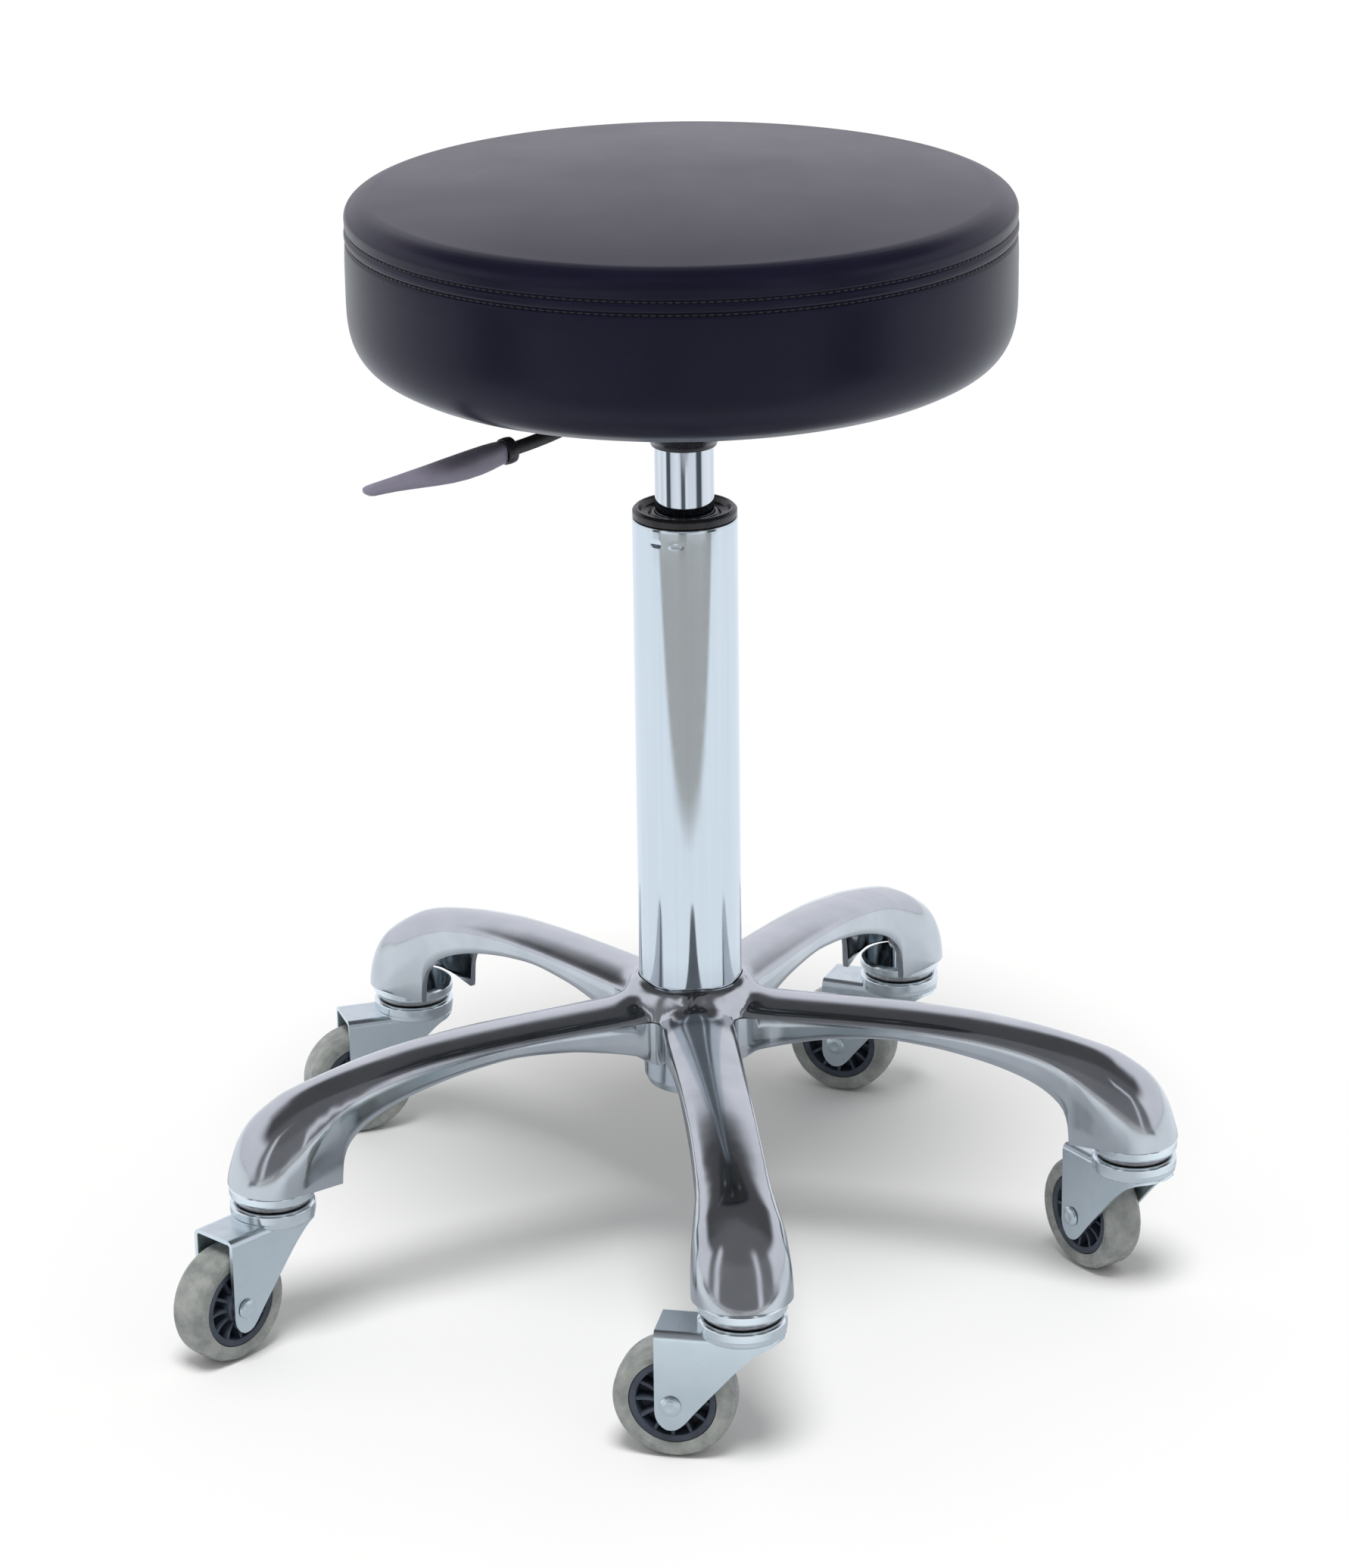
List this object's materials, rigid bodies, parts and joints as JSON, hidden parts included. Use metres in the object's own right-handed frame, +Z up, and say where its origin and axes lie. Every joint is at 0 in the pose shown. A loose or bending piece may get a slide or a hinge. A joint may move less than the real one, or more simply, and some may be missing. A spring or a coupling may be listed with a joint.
{
  "type": "rolling stylist stool",
  "caption": "Low round padded stool on a gas-lift column, with a cast star base on swivel casters and a release lever under the seat.",
  "frame": {"origin": "on the floor, at the centre of the footprint's bounding box; the column's axis is at x 6.5 mm, y 9.4 mm", "axes": "+Z up; the front arm points to -Y and slightly +X; the release lever points to -X and -Y"},
  "size_m": [0.4804, 0.4577, 0.544],
  "materials": {
    "cast_aluminium": "polished die casting",
    "chrome_tube": "mirror chrome plate",
    "chrome_rod": "ground and hard-chromed",
    "zinc_plate": "bright zinc plate, slightly blue",
    "bare_steel": "ground steel with a film of grease",
    "black_steel": "satin black powder coat",
    "black_plastic": "moulded black, fine grain",
    "wheel_plastic": "moulded dark blue-grey",
    "tread_urethane": "smooth warm-grey polyurethane",
    "black_rubber": "matt",
    "black_vinyl": "soft-sheen upholstery vinyl with fine grain",
    "foam": "open-cell polyurethane foam",
    "plywood": "raw plywood",
    "dust_cloth": "black spun-bonded cloth"
  },
  "bodies": {
    "base": {"star_base": "cast_aluminium", "column_tube": "chrome_tube", "guide_bush": "black_plastic", "caster_stem_1": "zinc_plate", "caster_stem_2": "zinc_plate", "caster_stem_3": "zinc_plate", "caster_stem_4": "zinc_plate", "caster_stem_5": "zinc_plate"},
    "lift_rod": {"piston_rod": "bare_steel", "piston": "bare_steel", "thrust_bearing": "bare_steel", "bump_stop": "black_rubber", "retaining_clip": "bare_steel"},
    "seat": {"gas_cylinder": "chrome_rod", "lever_housing": "black_steel", "socket_cover": "black_plastic", "lever_pivot": "zinc_plate", "seat_plate": "black_steel", "seat_bolt_1": "zinc_plate", "seat_bolt_2": "zinc_plate", "seat_bolt_3": "zinc_plate", "seat_bolt_4": "zinc_plate", "seat_board": "plywood", "dust_cover": "dust_cloth", "seat_foam": "foam", "seat_cover": "black_vinyl"},
    "lever": {"lever_rod": "black_steel", "lever_handle": "black_plastic"},
    "release_pin": {"release_pin": "bare_steel"},
    "caster_1": {"fork_1": "zinc_plate", "ball_race_1": "bare_steel", "axle_1": "zinc_plate"},
    "wheel_1": {"wheel_core_1": "wheel_plastic", "tread_1": "tread_urethane"},
    "caster_2": {"fork_2": "zinc_plate", "ball_race_2": "bare_steel", "axle_2": "zinc_plate"},
    "wheel_2": {"wheel_core_2": "wheel_plastic", "tread_2": "tread_urethane"},
    "caster_3": {"fork_3": "zinc_plate", "ball_race_3": "bare_steel", "axle_3": "zinc_plate"},
    "wheel_3": {"wheel_core_3": "wheel_plastic", "tread_3": "tread_urethane"},
    "caster_4": {"fork_4": "zinc_plate", "ball_race_4": "bare_steel", "axle_4": "zinc_plate"},
    "wheel_4": {"wheel_core_4": "wheel_plastic", "tread_4": "tread_urethane"},
    "caster_5": {"fork_5": "zinc_plate", "ball_race_5": "bare_steel", "axle_5": "zinc_plate"},
    "wheel_5": {"wheel_core_5": "wheel_plastic", "tread_5": "tread_urethane"}
  },
  "joints": [
    {"name": "seat_swivel", "type": "hinge", "parent": "base", "child": "lift_rod", "pos_m": [0.0053, 0.0103, 0.095], "axis": [0, 0, 1], "continuous": true},
    {"name": "seat_lift", "type": "slide", "parent": "lift_rod", "child": "seat", "axis": [0, 0, 1], "range_m": [0, 0.19]},
    {"name": "release_lever", "type": "hinge", "parent": "seat", "child": "lever", "pos_m": [-0.01866, -0.00775, 0.4438], "axis": [-0.6018, 0.7986, 0], "range_deg": [0, 7], "stiffness_Nm_per_rad": 8, "springref_deg": -11.46},
    {"name": "release_pin_travel", "type": "slide", "parent": "seat", "child": "release_pin", "axis": [0, 0, -1], "range_m": [0, 0.0045]},
    {"name": "caster_swivel_1", "type": "hinge", "parent": "base", "child": "caster_1", "pos_m": [0.02676, -0.20664, 0.072], "axis": [0, 0, 1], "continuous": true},
    {"name": "wheel_spin_1", "type": "hinge", "parent": "caster_1", "child": "wheel_1", "pos_m": [-0.00367, -0.20073, 0.0285], "axis": [-0.1908, -0.9816, 0], "continuous": true},
    {"name": "caster_swivel_2", "type": "hinge", "parent": "base", "child": "caster_2", "pos_m": [0.21826, -0.03633, 0.072], "axis": [0, 0, 1], "continuous": true},
    {"name": "wheel_spin_2", "type": "hinge", "parent": "caster_2", "child": "wheel_2", "pos_m": [0.20092, -0.01063, 0.0285], "axis": [-0.829, -0.5592, 0], "continuous": true},
    {"name": "caster_swivel_3", "type": "hinge", "parent": "base", "child": "caster_3", "pos_m": [0.11545, 0.19842, 0.072], "axis": [0, 0, 1], "continuous": true},
    {"name": "wheel_spin_3", "type": "hinge", "parent": "caster_3", "child": "wheel_3", "pos_m": [0.08671, 0.21004, 0.0285], "axis": [-0.3746, -0.9272, 0], "continuous": true},
    {"name": "caster_swivel_4", "type": "hinge", "parent": "base", "child": "caster_4", "pos_m": [-0.13958, 0.17319, 0.072], "axis": [0, 0, 1], "continuous": true},
    {"name": "wheel_spin_4", "type": "hinge", "parent": "caster_4", "child": "wheel_4", "pos_m": [-0.16906, 0.16361, 0.0285], "axis": [0.309, -0.9511, 0], "continuous": true},
    {"name": "caster_swivel_5", "type": "hinge", "parent": "base", "child": "caster_5", "pos_m": [-0.19439, -0.07715, 0.072], "axis": [0, 0, 1], "continuous": true},
    {"name": "wheel_spin_5", "type": "hinge", "parent": "caster_5", "child": "wheel_5", "pos_m": [-0.21553, -0.09982, 0.0285], "axis": [0.7314, -0.682, 0], "continuous": true}
  ],
  "couplings": [
    {"joint": "release_pin_travel", "follows": "release_lever", "m_per_rad": 0.0342}
  ]
}
